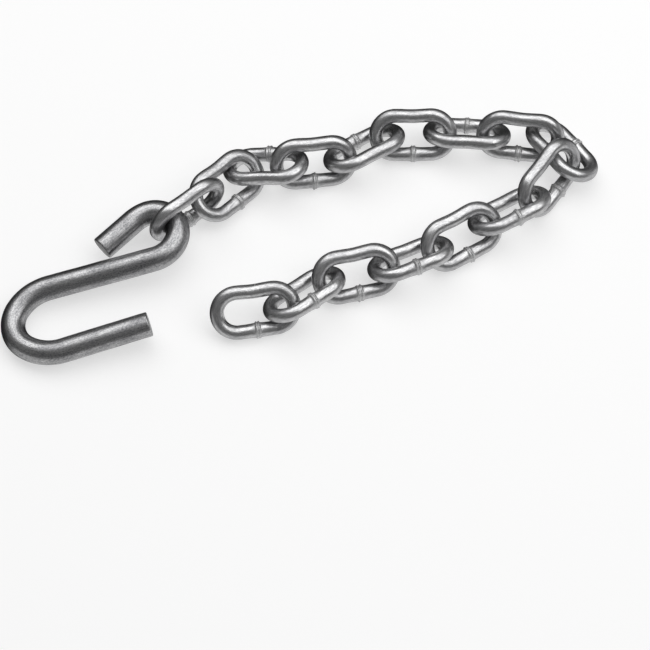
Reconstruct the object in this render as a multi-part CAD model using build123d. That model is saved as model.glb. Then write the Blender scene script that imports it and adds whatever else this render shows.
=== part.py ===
"""Safety chain with an S-hook, for the coupling between a small trailer and its tow vehicle.

One S-hook of round rod is closed onto the first of sixteen welded oval links. The part lies on a
level surface: the chain leaves the hook's eye, turns back on itself at links 8 to 10 and ends in
front of its first run. Millimetres and degrees. +X is along the first run, +Z is up from the
surface, and the origin is on the surface under the middle of the part.
"""
from build123d import *
import math
import os

# ---- Hook: 3/8 in round rod, bent cold in one plane ----
rod = 9.5                     # rod diameter
end_break = 0.5               # broken edge of the two sheared ends
tail_length = 16.0            # straight tail, which closes the eye
eye_bends = [(16.0, 21), (9.4, 131), (12.0, 57)]       # radius, turn: from the tail to the shank
shank_length = 42.0
bowl_bends = [(18.5, 46), (11.5, 90), (18.5, 46)]      # radius, turn: from the shank to the free leg
free_leg_length = 34.0
hook_heading = 14.5           # direction of the shank in plan, from the bowl to the eye
hook_rise = 5.2               # the eye lies on the first link, so the shank climbs towards it
hook_place = (-86.0, 18.0)    # middle of the shank in plan
anchor = 0.56                 # where the first link hangs on the eye's tight bend, from the tail

# ---- Chain: proof-coil pattern, 3/16 in trade size ----
wire = 5.5                    # wire diameter
inside_length = 24.1
inside_width = 10.2
weld_width = 3.2              # resistance weld, in the middle of one leg
weld_ridge = 0.45             # its two ridges stand this far out of the wire
weld_groove = 0.20            # and the groove between them this far

# ---- How the loose chain lies on the surface, from the second link to the last ----
# x, y: the link's middle in plan. heading: the way it points, towards the chain's end. roll: how
# far it is turned about its own length. pitch: how far its front end is raised. At roll 0 it lies
# flat with its weld to the left of the heading, and a positive roll lifts the weld.
lies = [
    (-38.5, 56.5, 45, -148, -8),
    (-23.5, 65.0, -7, -23, 15),
    (-4.5, 66.0, 9, -129, -5),
    (15.5, 73.5, 30, -35, -1),
    (35.0, 79.0, 1, -137, 0),
    (56.5, 80.0, -4, -35, 1),
    (77.5, 77.5, -6, -121, -1),
    (94.0, 73.0, -54, -28, 5),
    (88.0, 59.0, -127, -54, -6),
    (72.0, 45.5, -152, 38, -1),
    (53.0, 34.0, -150, -38, 0),
    (33.0, 24.5, -158, 38, -1),
    (12.0, 18.0, -166, -38, 2),
    (-8.0, 9.5, -145, 37, 2),
    (-26.5, 2.5, -171, -39, 1),
]

half_length = (inside_length + wire) / 2      # link's middle to its crown's wire centre
half_width = (inside_width + wire) / 2        # link's middle to a leg's wire centre
leg_half = half_length - half_width           # half of a straight leg


def bent_rod(diameter, edges):
    """A round rod along a chain of tangent edges."""
    path = Wire(edges)
    section = Plane(origin=path @ 0, z_dir=path % 0) * Circle(diameter / 2)
    return sweep(section, path=path)


def add_bends(edges, bends, side):
    """Continue the edges with arcs, side +1 to the left and -1 to the right."""
    for radius, turn in bends:
        edges.append(JernArc(edges[-1] @ 1, edges[-1] % 1, radius, side * turn))


def add_straight(edges, length):
    """Continue the edges with a straight run."""
    start = edges[-1] @ 1
    edges.append(Line(start, start + length * (edges[-1] % 1)))


def hook_edges():
    """Centreline of the hook in its own plane, from the tail's end to the free leg's end."""
    edges = [Line((0, 0), (tail_length, 0))]
    add_bends(edges, eye_bends, -1)
    add_straight(edges, shank_length)
    add_bends(edges, bowl_bends, 1)
    add_straight(edges, free_leg_length)
    return edges


def hook_location():
    """From the hook's own plane to the surface: the bowl lies on it and the eye is raised."""
    shank = hook_edges()[1 + len(eye_bends)]
    shank_plane = Plane(origin=shank @ 0.5, x_dir=-(shank % 0.5), z_dir=(0, 0, 1))
    turned = Rot(0, 0, hook_heading) * Rot(0, -hook_rise, 0) * shank_plane.location.inverse()
    lowest = min((turned * Pos(*(edge @ part))).position.Z for edge in hook_edges() for part in (0, 0.5, 1))
    return Pos(hook_place[0], hook_place[1], rod / 2 - lowest) * turned


def make_hook():
    """The S-hook, placed."""
    edges = hook_edges()
    flat = bent_rod(rod, edges)
    rims = flat.edges().filter_by(GeomType.CIRCLE)
    ends = [rims.sort_by(lambda rim: (rim.arc_center - end).length)[0]
            for end in (edges[0] @ 0, edges[-1] @ 1)]
    return hook_location() * fillet(ends, end_break)


def weld_ring():
    """The upset of the weld: two low ridges round the wire, with a groove between them."""
    radius = wire / 2
    half = weld_width / 2
    points = [(-half, radius), (-half / 2, radius + weld_ridge), (0, radius + weld_groove),
              (half / 2, radius + weld_ridge), (half, radius)]
    outline = Spline(points) + Polyline(points[-1], (half, radius / 2), (-half, radius / 2), points[0])
    return revolve(make_face(outline), axis=Axis.X)


def make_link():
    """One link about its own middle: X along its length, Y across it, weld on the +Y leg."""
    edges = [Line((-leg_half, half_width), (leg_half, half_width))]
    for _ in range(2):
        add_bends(edges, [(half_width, 180)], -1)
        add_straight(edges, 2 * leg_half)
    body = bent_rod(wire, edges[:-1])
    return body + Pos(0, half_width, 0) * weld_ring()


def first_link_plane():
    """The first link hangs on the eye: its end is concentric with the rod, its length is level."""
    bend = hook_edges()[2]
    centre = hook_location() * Pos(*(bend @ anchor))
    ahead = hook_location() * Pos(*(bend @ anchor + bend % anchor))
    rod_line = ahead.position - centre.position
    along = Vector(rod_line.Y, -rod_line.X, 0).normalized() * -1
    across = along.cross(rod_line)
    return Plane(origin=centre.position + along * leg_half, x_dir=along, z_dir=along.cross(across))


def link_plane(x, y, heading, roll, pitch):
    """The plane of a link that lies on the surface: its X is the heading, its Y is the weld's side."""
    level = Plane.XY.rotated((0, 0, heading))
    rise, tilt = math.radians(pitch), math.radians(roll)
    along = level.x_dir * math.cos(rise) + Vector(0, 0, math.sin(rise))
    across = level.y_dir * math.cos(tilt) + along.cross(level.y_dir) * math.sin(tilt)
    below_weld = half_width * abs(across.Z) + (weld_ridge if across.Z < 0 else 0)
    below_end = half_width * math.hypot(across.Z, along.Z) + leg_half * abs(along.Z)
    height = wire / 2 + max(below_weld, below_end)
    return Plane(origin=(x, y, height), x_dir=along, z_dir=along.cross(across))


def main():
    """Build every piece, centre the part over the origin and write one STEP for each piece."""
    link = make_link()
    planes = [first_link_plane()] + [link_plane(*lie) for lie in lies]
    pieces = {"s_hook": make_hook()}
    for number, plane in enumerate(planes, 1):
        pieces[f"link_{number:02d}"] = plane * link
    box = Compound(list(pieces.values())).bounding_box()
    shift = Pos(-box.center().X, -box.center().Y, -box.min.Z)
    os.makedirs("parts", exist_ok=True)
    for name, piece in pieces.items():
        export_step(shift * piece.solid(), f"parts/{name}.step")
    print("shift", shift.position)
    bend = hook_edges()[2]
    place = hook_location()
    eye = (place * Pos(*(bend @ anchor))).position
    print("eye anchor", eye, "rod line", (place * Pos(*(bend @ anchor + bend % anchor))).position - eye)
    for number, plane in enumerate(planes, 1):
        print("link", number, "middle", plane.origin, "along", plane.x_dir, "across", plane.y_dir)


main()
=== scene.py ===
"""Looks for the trailer safety chain: a zinc-plated S-hook and sixteen welded oval links.

Each visible piece is a wire or rod swept in mesh code, laid exactly over its CAD node. Metres.
"""
import math

import bpy
import numpy as np
from mathutils import Matrix, Vector, noise


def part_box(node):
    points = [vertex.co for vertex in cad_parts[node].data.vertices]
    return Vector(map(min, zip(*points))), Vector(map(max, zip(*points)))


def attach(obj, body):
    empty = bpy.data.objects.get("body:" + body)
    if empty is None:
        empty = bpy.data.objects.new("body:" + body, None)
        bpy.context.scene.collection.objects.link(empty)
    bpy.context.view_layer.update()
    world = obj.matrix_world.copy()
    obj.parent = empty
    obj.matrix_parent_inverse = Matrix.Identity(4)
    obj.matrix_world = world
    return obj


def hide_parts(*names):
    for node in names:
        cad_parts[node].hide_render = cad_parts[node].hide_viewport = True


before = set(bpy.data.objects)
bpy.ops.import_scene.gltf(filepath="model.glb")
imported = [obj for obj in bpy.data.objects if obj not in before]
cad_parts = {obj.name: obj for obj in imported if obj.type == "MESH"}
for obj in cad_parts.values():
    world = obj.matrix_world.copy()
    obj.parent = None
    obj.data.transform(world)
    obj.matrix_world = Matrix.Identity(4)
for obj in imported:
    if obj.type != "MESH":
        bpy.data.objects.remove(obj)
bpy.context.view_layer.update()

# ---- Sizes, as in the CAD part ----
MM = 0.001
ROD = 9.5 * MM
EYE_BENDS = [(16.0 * MM, 21), (9.4 * MM, 131), (12.0 * MM, 57)]       # radius, turn in degrees
BOWL_BENDS = [(18.5 * MM, 46), (11.5 * MM, 90), (18.5 * MM, 46)]
TAIL, SHANK, FREE_LEG = 16.0 * MM, 42.0 * MM, 34.0 * MM
END_BREAK = 0.5 * MM
HOOK_HEADING, HOOK_RISE = 14.5, 5.2    # degrees
WIRE_MM, INSIDE_LENGTH_MM, INSIDE_WIDTH_MM = 5.5, 24.1, 10.2
WIRE = WIRE_MM * MM
HALF_WIDTH = (INSIDE_WIDTH_MM + WIRE_MM) / 2 * MM           # link's middle to a leg's wire centre
LEG_HALF = (INSIDE_LENGTH_MM - INSIDE_WIDTH_MM) / 2 * MM    # half of a straight leg
LINK_LENGTH = 4 * LEG_HALF + 2 * math.pi * HALF_WIDTH      # round the centreline

# ---- How finely the pieces are made ----
AROUND_WIRE = 44              # points round the wire
AROUND_ROD = 64               # points round the rod
WELD_ZONE_MM = 3.2            # each way from the weld, in close steps
WELD_STEP_MM = 0.1
PLAIN_STATIONS = 170          # along the rest of the link
ROD_STEP = 0.55 * MM
BEND_STEPS = 8000             # in working out the hook's centreline
BEND_SOFTENING = 120          # of those steps, each way

# ---- What real pieces have and the CAD leaves out ----
RIDGE_HEIGHT = 0.38 * MM      # of the two ridges rolled up at a link's weld
RIDGE_WIDTH = 0.37 * MM
RIDGE_SPREAD_MM = (0.38, 0.80)    # least and most from the weld's middle to a ridge
RIDGE_UNEVEN = 0.40
UPSET_HEIGHT, UPSET_WIDTH = 0.18 * MM, 2.2 * MM            # the wire thickened round the weld
GROOVE_HEIGHT, GROOVE_WIDTH = 0.14 * MM, 0.9 * MM          # filling between the ridges
WELD_COLOURED = 2.4 * MM      # how far the weld's duller finish reaches
WAIST = 0.28 * MM             # the leg opposite the weld is drawn inwards
CROWN_WEAR = 0.09 * MM        # depth rubbed off inside a crown
GRAIN_DRIFT = 2 * MM          # shifts the grain, so that a link's two halves differ
PRESSED, SWELLED = 0.22 * MM, 0.066 * MM                   # times 1/radius: the rod flattens in a bend
TIGHT_BEND = -60              # eye bends are tighter than this, in 1/m
SHEARED_AND_PAINTED_LIGHT = 3.4                 # the weld value on the hook's sheared ends: rougher and matte like torn steel, and set high so their colour is lighter, partly as painted light where the end faces miss the lamp
TORN, DISHED = 0.10 * MM, 0.10 * MM                        # roughness and hollow of a sheared end


# ---- Mesh building ----
def swept_mesh(name, rings, rod_space, worn, weld, closed):
    """A tube through rings (N, M, 3). The other values go to the mesh for the materials to read.

    rod_space: a place along, across and round the straight wire. worn: 0 to 1 where links rub.
    weld: 0 on plain wire, 1 at a link's weld and a higher value on the hook's sheared ends, which
    lightens them: partly their torn matte finish, partly painted light.
    """
    count, around = rings.shape[:2]
    last = count if closed else count - 1
    i = np.arange(last)[:, None]
    j = np.arange(around)[None, :]
    corners = ((i, j), (i + 1, j), (i + 1, j + 1), (i, j + 1))
    indices = [(a % count) * around + b % around for a, b in corners]
    faces = np.stack(indices, axis=-1).reshape(-1, 4)[:, ::-1].tolist()
    if not closed:
        faces.append(list(range(around)))
        faces.append(list(range((count - 1) * around, count * around))[::-1])
    mesh = bpy.data.meshes.new(name)
    mesh.from_pydata(rings.reshape(-1, 3).tolist(), [], faces)
    mesh.shade_smooth()
    for label, values in (("worn", worn), ("weld", weld)):
        layer = mesh.attributes.new(label, "FLOAT", "POINT")
        layer.data.foreach_set("value", np.asarray(values, dtype=np.float32).ravel())
    layer = mesh.attributes.new("rod_space", "FLOAT_VECTOR", "POINT")
    layer.data.foreach_set("vector", np.asarray(rod_space, dtype=np.float32).ravel())
    return mesh


def unevenness(points, seed, size, height):
    """Height of a smooth random surface at each point: drawn and plated wire is never quite round."""
    shifted = points.reshape(-1, 3) / size + seed * 7.31
    values = [noise.noise(Vector(point)) for point in shifted.tolist()]
    return height * np.array(values).reshape(points.shape[:-1])


def rays(out, angle):
    """Unit vectors round a flat spine: out (N, 3) points away from it in its plane, Z is its normal."""
    up = np.array([0, 0, 1.0])
    return np.cos(angle)[None, :, None] * out[:, None] + np.sin(angle)[None, :, None] * up


# ---- Links ----
def stadium(distance):
    """Point and outward normal, at a distance from the weld round the link's centreline."""
    arc = math.pi * HALF_WIDTH
    s = (distance + LINK_LENGTH / 2) % LINK_LENGTH - LINK_LENGTH / 2
    side = 1 if s >= 0 else -1
    s = abs(s)
    if s <= LEG_HALF:
        return (side * s, HALF_WIDTH), (0, 1)
    if s <= LEG_HALF + arc:
        turn = (s - LEG_HALF) / HALF_WIDTH
        across, ahead = math.cos(turn), math.sin(turn)
        return (side * (LEG_HALF + HALF_WIDTH * ahead), HALF_WIDTH * across), (side * ahead, across)
    return (side * (2 * LEG_HALF + arc - s), -HALF_WIDTH), (0, -1)


def weld_profile(offset, angle, leans, spread):
    """How far the weld stands out of the wire: two rolled ridges on a slightly upset wire.

    leans: round the wire, where each ridge and the groove between them stand out most.
    """
    lean_a, lean_b, pinch = leans
    ridge = 0.0
    for centre, lean in ((-spread, lean_a), (spread, lean_b)):
        high = RIDGE_HEIGHT * (1 + RIDGE_UNEVEN * np.cos(angle - lean))
        ridge = ridge + high * np.exp(-((offset - centre) / RIDGE_WIDTH) ** 2)
    upset = UPSET_HEIGHT * np.exp(-(offset / UPSET_WIDTH) ** 2)
    groove = GROOVE_HEIGHT * np.exp(-(offset / GROOVE_WIDTH) ** 2)
    return ridge + upset + groove * (1 + RIDGE_UNEVEN * np.cos(angle - pinch))


def link_mesh(name, seed):
    """One link about its own middle: X along it, Y towards the weld."""
    rng = np.random.default_rng(seed)
    leans = rng.uniform(0, 2 * math.pi, 3)
    spread = rng.uniform(*RIDGE_SPREAD_MM) * MM
    zone = WELD_ZONE_MM * MM
    near = np.arange(-WELD_ZONE_MM, WELD_ZONE_MM, WELD_STEP_MM) * MM
    rest = np.linspace(zone, LINK_LENGTH - zone, PLAIN_STATIONS, endpoint=False)
    stations = np.concatenate([near, rest])
    offset = (stations + LINK_LENGTH / 2) % LINK_LENGTH - LINK_LENGTH / 2
    angle = np.linspace(0, 2 * math.pi, AROUND_WIRE, endpoint=False)
    middles, outs = zip(*(stadium(s) for s in stations))
    middles, outs = np.array(middles), np.array(outs)
    far_leg = middles[:, 1] < -0.99 * HALF_WIDTH
    waist = WAIST * np.cos(np.clip(middles[:, 0] / LEG_HALF, -1, 1) * math.pi / 2) ** 2
    middles[:, 1] += np.where(far_leg, waist, 0)
    radius = WIRE / 2 + weld_profile(offset[:, None], angle[None], leans, spread)
    ray = rays(np.c_[outs, np.zeros(len(outs))], angle)
    spine = np.c_[middles, np.zeros(len(middles))][:, None]
    skin = spine + radius[..., None] * ray
    radius = radius + unevenness(skin, seed, 4.5 * MM, 0.045 * MM)
    radius = radius + unevenness(skin, seed + 40, 1.3 * MM, 0.014 * MM)
    crown = np.clip((np.abs(middles[:, 0]) - LEG_HALF) / HALF_WIDTH, 0, 1)[:, None]
    inner = np.clip(-np.cos(angle), 0, 1)[None]
    worn = crown ** 2 * inner ** 1.5
    radius = radius - CROWN_WEAR * worn
    rings = spine + radius[..., None] * ray
    weld = np.exp(-(offset / WELD_COLOURED) ** 2)[:, None] * np.ones_like(radius)
    drift = GRAIN_DRIFT * np.sin(2 * math.pi * offset / LINK_LENGTH)
    rod_space = np.stack([np.broadcast_to(np.abs(offset)[:, None] + seed, radius.shape),
                          WIRE / 2 * np.cos(angle)[None] + drift[:, None],
                          WIRE / 2 * np.broadcast_to(np.sin(angle), radius.shape)], axis=-1)
    return swept_mesh(name, rings, rod_space, worn, weld, True)


def link_frame(name):
    """Where the CAD link lies: its own X along it, Y towards its weld and Z along its normal."""
    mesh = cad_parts[name].data
    centres = np.empty(3 * len(mesh.polygons))
    areas = np.empty(len(mesh.polygons))
    mesh.polygons.foreach_get("center", centres)
    mesh.polygons.foreach_get("area", areas)
    centres = centres.reshape(-1, 3)
    middle = np.average(centres, axis=0, weights=areas)
    spread = ((centres - middle) * areas[:, None]).T @ (centres - middle)
    normal, across, along = np.linalg.eigh(spread)[1].T
    along = along if along[0] > 0 else -along
    local = (centres - middle) @ np.array([along, across]).T
    clear_of_weld = np.abs(local[:, 0]) > WIRE
    low, high = local[clear_of_weld].min(axis=0), local[clear_of_weld].max(axis=0)
    halfway = (low + high) / 2
    if local[:, 1].max() - high[1] < low[1] - local[:, 1].min():
        across, halfway[1] = -across, -halfway[1]
    centre = middle + halfway[0] * along + halfway[1] * across
    axes = np.array([along, across, np.cross(along, across)])
    return Matrix.Translation(centre) @ Matrix(axes.T.tolist()).to_4x4()


# ---- Hook ----
def hook_stations():
    """Distances along the hook's centreline, with x, y, heading and bend there, and its length.

    It lies in its own plane. A bend is 1 / radius, plus to the left, softened where bends meet.
    """
    runs = [(TAIL, 0.0)] + [(r * math.radians(t), -1 / r) for r, t in EYE_BENDS] + [(SHANK, 0.0)]
    runs += [(r * math.radians(t), 1 / r) for r, t in BOWL_BENDS] + [(FREE_LEG, 0.0)]
    total = sum(length for length, _ in runs)
    ends = END_BREAK * (1 - np.cos(np.linspace(0, math.pi / 2, 6)))
    between = np.arange(END_BREAK, total - END_BREAK, ROD_STEP)[1:]
    s = np.concatenate([ends, between, total - ends[::-1]])
    fine = np.linspace(0, total, BEND_STEPS + 1)
    starts = np.cumsum([0] + [length for length, _ in runs])
    run = np.clip(np.searchsorted(starts, fine, "right") - 1, 0, len(runs) - 1)
    curve = np.array([bend for _, bend in runs])[run]
    step = fine[1]
    heading = np.concatenate([[0], np.cumsum((curve[1:] + curve[:-1]) / 2) * step])
    place = np.cumsum(np.c_[np.cos(heading), np.sin(heading)] * step, axis=0)
    window = 2 * BEND_SOFTENING + 1
    soft = np.convolve(np.pad(curve, BEND_SOFTENING, "edge"), np.ones(window) / window, "valid")
    columns = (place[:, 0], place[:, 1], heading, soft)
    return s, [np.interp(s, fine, column) for column in columns], total


def hook_mesh():
    """The rod along its centreline, with its two sheared ends."""
    s, (x, y, heading, bend), total = hook_stations()
    angle = np.linspace(0, 2 * math.pi, AROUND_ROD, endpoint=False)
    from_end = np.minimum(s, total - s)
    into_break = np.clip(END_BREAK - from_end, 0, END_BREAK)
    rounding = END_BREAK - np.sqrt(np.clip(END_BREAK ** 2 - into_break ** 2, 0, None))
    pressed = PRESSED * np.abs(bend)[:, None] * np.cos(angle)[None] ** 2
    swelled = SWELLED * np.abs(bend)[:, None] * np.sin(angle)[None] ** 2
    radius = (ROD / 2 - rounding)[:, None] * (1 - pressed + swelled)
    ray = rays(np.c_[-np.sin(heading), np.cos(heading), np.zeros(len(s))], angle)
    spine = np.c_[x, y, np.zeros(len(s))][:, None]
    skin = spine + radius[..., None] * ray
    rough = unevenness(skin, 3, 9 * MM, 0.06 * MM) + unevenness(skin, 8, 2.2 * MM, 0.02 * MM)
    radius = radius + rough * np.clip(from_end / END_BREAK, 0, 1)[:, None]
    rings = spine + radius[..., None] * ray
    ahead = np.c_[np.cos(heading), np.sin(heading), np.zeros(len(s))]
    first = end_rings(rings[0], spine[0, 0], -ahead[0], 11)
    last = end_rings(rings[-1], spine[-1, 0], ahead[-1], 12)
    rings = np.concatenate([first[::-1], rings, last])
    depth = len(first)
    where = np.concatenate([np.full(depth, s[0]), s, np.full(depth, s[-1])])
    shape = rings.shape[:2]
    rod_space = np.stack([np.broadcast_to(where[:, None], shape),
                          ROD / 2 * np.broadcast_to(np.cos(angle), shape),
                          ROD / 2 * np.broadcast_to(np.sin(angle), shape)], axis=-1)
    worn = np.zeros(shape)
    worn[depth:-depth][bend < TIGHT_BEND] = np.clip(-np.cos(angle[None]), 0, 1) ** 2
    # sheared ends get a high weld value: a rougher, matte finish, and a lighter colour that is partly
    # painted light for end faces the lamp hardly reaches
    sheared = np.zeros(shape)
    for face, centre in ((slice(0, depth), spine[0, 0]), (slice(-depth, None), spine[-1, 0])):
        inwards = np.linalg.norm(rings[face] - centre, axis=-1) / (ROD / 2)
        rod_space[face, :, 1:] *= inwards[..., None]
        sheared[face] = SHEARED_AND_PAINTED_LIGHT
    return swept_mesh("s_hook_looks", rings, rod_space, worn, sheared, False)


def end_rings(rim, centre, outward, seed):
    """Shrinking rings over a sheared end, a little dished and torn across."""
    found = []
    for share in (0.96, 0.9, 0.82, 0.72, 0.6, 0.46, 0.32, 0.18, 0.06):
        ring = centre + (rim - centre) * share
        torn = unevenness(ring * np.array([1, 1, 0.25]), seed, 1.4 * MM, TORN)
        dish = -DISHED * (1 - share ** 2)
        found.append(ring + outward * (dish + torn * min(1, (1 - share) * 6))[:, None])
    return np.array(found)


def hook_frame(mesh):
    """Turn the hook's plane as the CAD does, then set its box on the CAD hook's box."""
    s, (_, _, heading, _), _ = hook_stations()
    shank_start = TAIL + sum(r * math.radians(t) for r, t in EYE_BENDS)
    direction = float(np.interp(shank_start + SHANK / 2, s, heading))
    turn = (Matrix.Rotation(math.radians(HOOK_HEADING), 4, "Z")
            @ Matrix.Rotation(-math.radians(HOOK_RISE), 4, "Y")
            @ Matrix.Rotation(math.pi - direction, 4, "Z"))
    points = np.array([turn @ vertex.co for vertex in mesh.vertices])
    low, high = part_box("s_hook")
    shift = (np.array(low) + np.array(high)) / 2 - (points.min(axis=0) + points.max(axis=0)) / 2
    return Matrix.Translation(shift.tolist()) @ turn


# ---- Materials ----
def node(tree, kind, inputs=None, **settings):
    """Add a node, set its properties, and fill its inputs with values or links."""
    made = tree.nodes.new(kind)
    for key, value in settings.items():
        setattr(made, key, value)
    for key, value in (inputs or {}).items():
        if isinstance(value, bpy.types.NodeSocket):
            tree.links.new(value, made.inputs[key])
        else:
            made.inputs[key].default_value = value
    return made


def spots(tree, vector, stretch, scale, detail, rough=0.55):
    """Noise in rod space, about 0.5 on average. stretch scales it along, across and round the wire."""
    mapped = node(tree, "ShaderNodeMapping", {"Vector": vector, "Scale": stretch})
    inputs = {"Vector": mapped.outputs[0], "Scale": scale, "Detail": detail, "Roughness": rough}
    return node(tree, "ShaderNodeTexNoise", inputs).outputs["Fac"]


def math_node(tree, operation, a, b, clamp=False):
    """One sum, difference or product of two values or sockets."""
    return node(tree, "ShaderNodeMath", {0: a, 1: b}, operation=operation, use_clamp=clamp).outputs[0]


def blend_range(tree, value, low, high, to_low, to_high):
    """Map value from low..high to to_low..to_high, smoothly and clamped."""
    inputs = {"Value": value, "From Min": low, "From Max": high, "To Min": to_low, "To Max": to_high}
    return node(tree, "ShaderNodeMapRange", inputs, interpolation_type="SMOOTHSTEP").outputs[0]


def add_all(tree, first, *shares):
    """The first value, plus each of the others times its weight."""
    for value, weight in shares:
        first = math_node(tree, "ADD", first, math_node(tree, "MULTIPLY", value, weight))
    return first


def zinc(name, light, dark, grain_size, grain_stretch, streaks, dull, relief):
    """Bright zinc plate over drawn rod: fine speckled grain, drawing lines, dull patches and wear.

    grain_stretch: below 1 the grain is longer along the wire. streaks: strength of the drawing
    lines. dull: added to the roughness. relief: height of the grain.
    """
    material = bpy.data.materials.new(name)
    material.use_nodes = True
    tree = material.node_tree
    shader = tree.nodes["Principled BSDF"]
    space = node(tree, "ShaderNodeAttribute", attribute_name="rod_space").outputs["Vector"]
    worn = node(tree, "ShaderNodeAttribute", attribute_name="worn").outputs["Fac"]
    weld = node(tree, "ShaderNodeAttribute", attribute_name="weld").outputs["Fac"]
    grain = spots(tree, space, (grain_stretch, 1, 1), 1 / grain_size, 3.0, 0.65)
    fine = spots(tree, space, (grain_stretch, 1, 1), 2.6 / grain_size, 2.0)
    lines = spots(tree, space, (0.05, 1, 1), 1 / (0.55 * MM), 3.0, 0.6)
    patches = spots(tree, space, (0.7, 1, 1), 1 / (7 * MM), 2.0)
    pointiness = node(tree, "ShaderNodeNewGeometry").outputs["Pointiness"]
    edges = blend_range(tree, pointiness, 0.50, 0.56, 0.0, 1.0)
    tone = blend_range(tree, grain, 0.32, 0.68, 0.0, 0.62)
    tone = math_node(tree, "ADD", tone, blend_range(tree, patches, 0.3, 0.7, 0.0, 0.26))
    tone = math_node(tree, "ADD", tone, blend_range(tree, lines, 0.3, 0.7, -streaks, streaks))
    # the weld value lightens the tone: the duller finish at welds, and on the hook's sheared ends also
    # painted light
    tone = add_all(tree, tone, (worn, 0.25), (edges, 0.30), (weld, 0.12))
    colour = node(tree, "ShaderNodeValToRGB", {"Fac": tone})
    colour.color_ramp.elements[0].color = (*dark, 1)
    colour.color_ramp.elements[1].color = (*light, 1)
    tree.links.new(colour.outputs["Color"], shader.inputs["Base Color"])
    rough = blend_range(tree, grain, 0.3, 0.7, 0.31 + dull, 0.23 + dull)
    rough = math_node(tree, "ADD", rough, blend_range(tree, patches, 0.3, 0.7, 0.07, -0.03))
    rough = add_all(tree, rough, (weld, 0.12))
    rough = math_node(tree, "SUBTRACT", rough, math_node(tree, "MULTIPLY", worn, 0.08), clamp=True)
    tree.links.new(rough, shader.inputs["Roughness"])
    tree.links.new(blend_range(tree, weld, 0.0, 2.2, 1.0, 0.30), shader.inputs["Metallic"])
    height = add_all(tree, grain, (fine, 0.35), (lines, 4 * streaks))
    bump = node(tree, "ShaderNodeBump", {"Height": height, "Strength": 0.7, "Distance": relief})
    tree.links.new(bump.outputs["Normal"], shader.inputs["Normal"])
    return material


# ---- Pieces ----
def place(mesh, matrix, body, material, slot):
    """Put a mesh over its CAD node, moving with its body."""
    mesh.transform(matrix)
    mesh.materials.append(material)
    piece = bpy.data.objects.new(mesh.name, mesh)
    bpy.context.collection.objects.link(piece)
    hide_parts(body)
    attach(piece, body)


hook_zinc = zinc("hook_zinc", light=(0.55, 0.55, 0.55), dark=(0.17, 0.17, 0.18), grain_size=0.42 * MM,
                 grain_stretch=0.6, streaks=0.18, dull=0.055, relief=0.034 * MM)
link_zinc = zinc("link_zinc", light=(0.67, 0.67, 0.67), dark=(0.33, 0.33, 0.34), grain_size=0.42 * MM,
                 grain_stretch=0.3, streaks=0.15, dull=0.04, relief=0.013 * MM)
hook = hook_mesh()
place(hook, hook_frame(hook), "s_hook", hook_zinc, "hook_zinc_plated_steel")
for number in range(1, 17):
    name = f"link_{number:02d}"
    place(link_mesh(name + "_looks", number), link_frame(name), name, link_zinc,
          "link_zinc_plated_steel")


# ---- Floor, light and camera ----
AIM = Vector((0.0078, -0.0354, 0.0))      # the camera looks at this point from in front
DISTANCE = 0.700
ELEVATION = 66.0
FOCAL_PIXELS = 1820.0
FRAME_PIXELS = 650.0
SENSOR = 36.0
PALE_SIDE = (0.45, -0.89, 0.0)            # the way towards the pale side of the room, in front
FLOOR_HALF = 3.0


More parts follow.
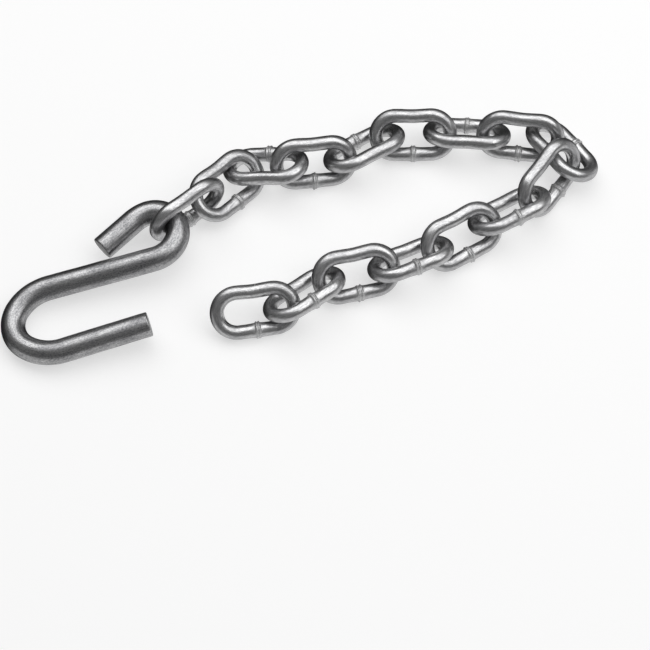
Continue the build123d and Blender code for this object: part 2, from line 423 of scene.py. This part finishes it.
def pale_floor():
    """A wide pale sheet under the part, which lights it but doesn't show in its reflections."""
    mesh = bpy.data.meshes.new("floor")
    corners = [(x * FLOOR_HALF, y * FLOOR_HALF, 0) for x, y in ((-1, -1), (1, -1), (1, 1), (-1, 1))]
    mesh.from_pydata(corners, [], [(0, 1, 2, 3)])
    material = bpy.data.materials.new("floor_paper")
    material.use_nodes = True
    shader = material.node_tree.nodes["Principled BSDF"]
    shader.inputs["Base Color"].default_value = (0.50, 0.50, 0.50, 1)
    shader.inputs["Roughness"].default_value = 0.9
    shader.inputs["Emission Color"].default_value = (1, 1, 1, 1)
    shader.inputs["Emission Strength"].default_value = 0.56
    mesh.materials.append(material)
    floor = bpy.data.objects.new("floor", mesh)
    bpy.context.collection.objects.link(floor)
    floor.visible_glossy = False


def softbox(name, place_m, aim_m, size_m, power):
    """A rectangular area light that faces a point."""
    light = bpy.data.lights.new(name, "AREA")
    light.shape = "RECTANGLE"
    light.size, light.size_y = size_m
    light.energy = power
    lamp = bpy.data.objects.new(name, light)
    lamp.location = place_m
    lamp.rotation_euler = (Vector(aim_m) - Vector(place_m)).to_track_quat("-Z", "Y").to_euler()
    bpy.context.collection.objects.link(lamp)


def studio():
    """A dim room: pale low down in front and to the right, dark low down behind and to the left."""
    world = bpy.data.worlds.new("studio")
    world.use_nodes = True
    tree = world.node_tree
    direction = node(tree, "ShaderNodeTexCoord").outputs["Generated"]
    toward = node(tree, "ShaderNodeVectorMath", {0: direction, 1: PALE_SIDE}, operation="DOT_PRODUCT")
    height = node(tree, "ShaderNodeSeparateXYZ", {0: direction}).outputs["Z"]
    near = blend_range(tree, toward.outputs["Value"], -0.33, 0.10, 0.0, 1.0)
    low = blend_range(tree, height, 0.30, -0.15, 0.0, 1.0)
    pale = math_node(tree, "MULTIPLY", math_node(tree, "MULTIPLY", near, low), 0.80)
    room = blend_range(tree, height, -0.1, 0.6, 0.03, 0.20)
    backdrop = tree.nodes["Background"]
    tree.links.new(math_node(tree, "ADD", room, pale), backdrop.inputs["Strength"])
    backdrop.inputs["Color"].default_value = (1, 1, 1, 1)
    return world


pale_floor()
softbox("overhead", place_m=(0.20, 0.36, 1.12), aim_m=(0.0, 0.0, 0.0), size_m=(3.0, 1.10), power=18.5)
bpy.context.scene.world = studio()
bpy.context.scene.view_settings.view_transform = "Standard"

camera = bpy.data.cameras.new("camera")
camera.sensor_width = SENSOR
camera.lens = FOCAL_PIXELS / FRAME_PIXELS * SENSOR
viewer = bpy.data.objects.new("camera", camera)
rise = math.radians(ELEVATION)
viewer.location = AIM + DISTANCE * Vector((0, -math.cos(rise), math.sin(rise)))
viewer.rotation_euler = (math.pi / 2 - rise, 0, 0)
bpy.context.collection.objects.link(viewer)
bpy.context.scene.camera = viewer
